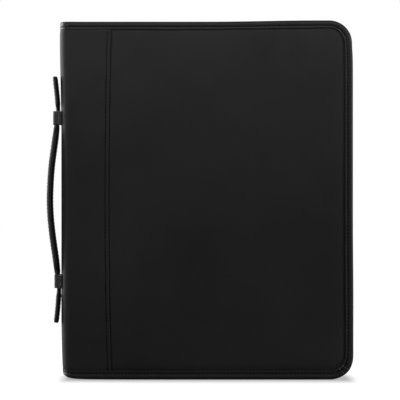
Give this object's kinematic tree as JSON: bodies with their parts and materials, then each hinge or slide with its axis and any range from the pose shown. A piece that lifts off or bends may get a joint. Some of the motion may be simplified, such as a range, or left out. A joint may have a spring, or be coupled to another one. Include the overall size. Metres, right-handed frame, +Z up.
{
  "type": "zip-around ring binder",
  "caption": "Upright black leather zip-around ring binder with bound edges, a lapped spine seam and a sliding strap handle on its spine.",
  "frame": {"origin": "middle of the closed binder's box at its base, with the handle counted in", "axes": "+Z up along the spine, +X from the spine to the free edge, -Y out of the front cover"},
  "size_m": [0.294, 0.054, 0.343],
  "materials": {
    "leather": "black fine-grain leather, low sheen",
    "binding": "black leather, folded and stitched",
    "strap": "black leather in two stitched layers",
    "board": "grey-brown binder's board",
    "padding": "thin foam sheet",
    "lining": "black woven lining",
    "tape": "black woven zip tape",
    "zip_metal": "dark nickel",
    "chrome": "polished"
  },
  "bodies": {
    "spine": {"spine_leather": "leather", "spine_board": "board", "spine_lining": "lining", "spine_binding_bottom": "binding", "spine_binding_top": "binding", "ring_cover_plate": "chrome", "ring_rivet_lower": "chrome", "ring_rivet_upper": "chrome", "ring_lever_pin_lower": "chrome", "ring_lever_pin_upper": "chrome", "handle_keeper_lower": "strap", "handle_keeper_upper": "strap"},
    "front_cover": {"front_leather": "leather", "front_padding": "padding", "front_board": "board", "front_lining": "lining", "front_spine_flap": "leather", "front_binding": "binding", "front_gusset": "leather", "front_zip_tape": "tape", "front_zip_teeth": "zip_metal", "front_zip_end_tab_bottom": "leather", "front_zip_end_tab_top": "leather", "document_pocket": "lining", "card_slot_1": "lining", "card_slot_2": "lining", "card_slot_3": "lining"},
    "back_cover": {"back_leather": "leather", "back_padding": "padding", "back_board": "board", "back_lining": "lining", "back_spine_flap": "leather", "back_binding": "binding", "back_gusset": "leather", "back_zip_tape": "tape", "back_zip_teeth": "zip_metal", "back_zip_end_tab_bottom": "leather", "back_zip_end_tab_top": "leather", "pad_pocket": "lining", "pen_loop": "leather"},
    "slider": {"zip_slider": "zip_metal"},
    "pull": {"zip_pull": "zip_metal"},
    "ring_front": {"ring_leaf_front": "chrome", "half_ring_front_1": "chrome", "half_ring_front_2": "chrome", "half_ring_front_3": "chrome"},
    "ring_back": {"ring_leaf_back": "chrome", "half_ring_back_1": "chrome", "half_ring_back_2": "chrome", "half_ring_back_3": "chrome"},
    "lever_lower": {"ring_lever_lower": "chrome"},
    "lever_upper": {"ring_lever_upper": "chrome"},
    "grip": {"handle_grip": "strap"},
    "leg_lower": {"handle_leg_lower": "strap"},
    "leg_upper": {"handle_leg_upper": "strap"},
    "tail_lower": {"handle_tail_lower": "strap"},
    "tail_upper": {"handle_tail_upper": "strap"}
  },
  "joints": [
    {"name": "front_cover_hinge", "type": "hinge", "parent": "spine", "child": "front_cover", "pos_m": [-0.13068, -0.02571, 0.1715], "axis": [0, 0, -1], "range_deg": [0, 90]},
    {"name": "back_cover_hinge", "type": "hinge", "parent": "spine", "child": "back_cover", "pos_m": [-0.13068, 0.02571, 0.1715], "axis": [0, 0, 1], "range_deg": [0, 90]},
    {"name": "zip_slide", "type": "slide", "parent": "front_cover", "child": "slider", "axis": [1, 0, 0], "range_m": [0, 0.22], "deforming": ["front_zip_teeth", "back_zip_teeth"]},
    {"name": "zip_pull_flip", "type": "hinge", "parent": "slider", "child": "pull", "pos_m": [-0.10347, 0, 0.3394], "axis": [0, -1, 0], "range_deg": [0, 180]},
    {"name": "rings_open", "type": "hinge", "parent": "spine", "child": "ring_front", "pos_m": [-0.12557, -0.0108, 0.1715], "axis": [0, 0, -1], "range_deg": [0, 18]},
    {"name": "ring_back_open", "type": "hinge", "parent": "spine", "child": "ring_back", "pos_m": [-0.12557, 0.0108, 0.1715], "axis": [0, 0, 1], "range_deg": [0, 18]},
    {"name": "lever_lower_press", "type": "hinge", "parent": "spine", "child": "lever_lower", "pos_m": [-0.12557, 0, 0.0381], "axis": [0, 1, 0], "range_deg": [0, 40]},
    {"name": "lever_upper_press", "type": "hinge", "parent": "spine", "child": "lever_upper", "pos_m": [-0.12557, 0, 0.3049], "axis": [0, -1, 0], "range_deg": [0, 40]},
    {"name": "handle_lift", "type": "slide", "parent": "spine", "child": "grip", "axis": [-1, 0, 0], "range_m": [0, 0.0145]},
    {"name": "leg_lower_bend", "type": "hinge", "parent": "grip", "child": "leg_lower", "pos_m": [-0.14263, 0, 0.1435], "axis": [0, -1, 0], "range_deg": [0, 21]},
    {"name": "leg_upper_bend", "type": "hinge", "parent": "grip", "child": "leg_upper", "pos_m": [-0.14263, 0, 0.1995], "axis": [0, 1, 0], "range_deg": [0, 21]},
    {"name": "tail_lower_bend", "type": "hinge", "parent": "leg_lower", "child": "tail_lower", "pos_m": [-0.13731, 0, 0.1015], "axis": [0, 1, 0], "range_deg": [0, 21]},
    {"name": "tail_upper_bend", "type": "hinge", "parent": "leg_upper", "child": "tail_upper", "pos_m": [-0.13731, 0, 0.2415], "axis": [0, -1, 0], "range_deg": [0, 21]}
  ],
  "couplings": [
    {"joint": "ring_back_open", "follows": "rings_open", "ratio": 1},
    {"joint": "lever_lower_press", "follows": "rings_open", "ratio": 2.2},
    {"joint": "lever_upper_press", "follows": "rings_open", "ratio": 2.2},
    {"joint": "leg_lower_bend", "follows": "handle_lift", "rad_per_m": 24.9},
    {"joint": "leg_upper_bend", "follows": "handle_lift", "rad_per_m": 24.9},
    {"joint": "tail_lower_bend", "follows": "handle_lift", "rad_per_m": 24.9},
    {"joint": "tail_upper_bend", "follows": "handle_lift", "rad_per_m": 24.9}
  ]
}
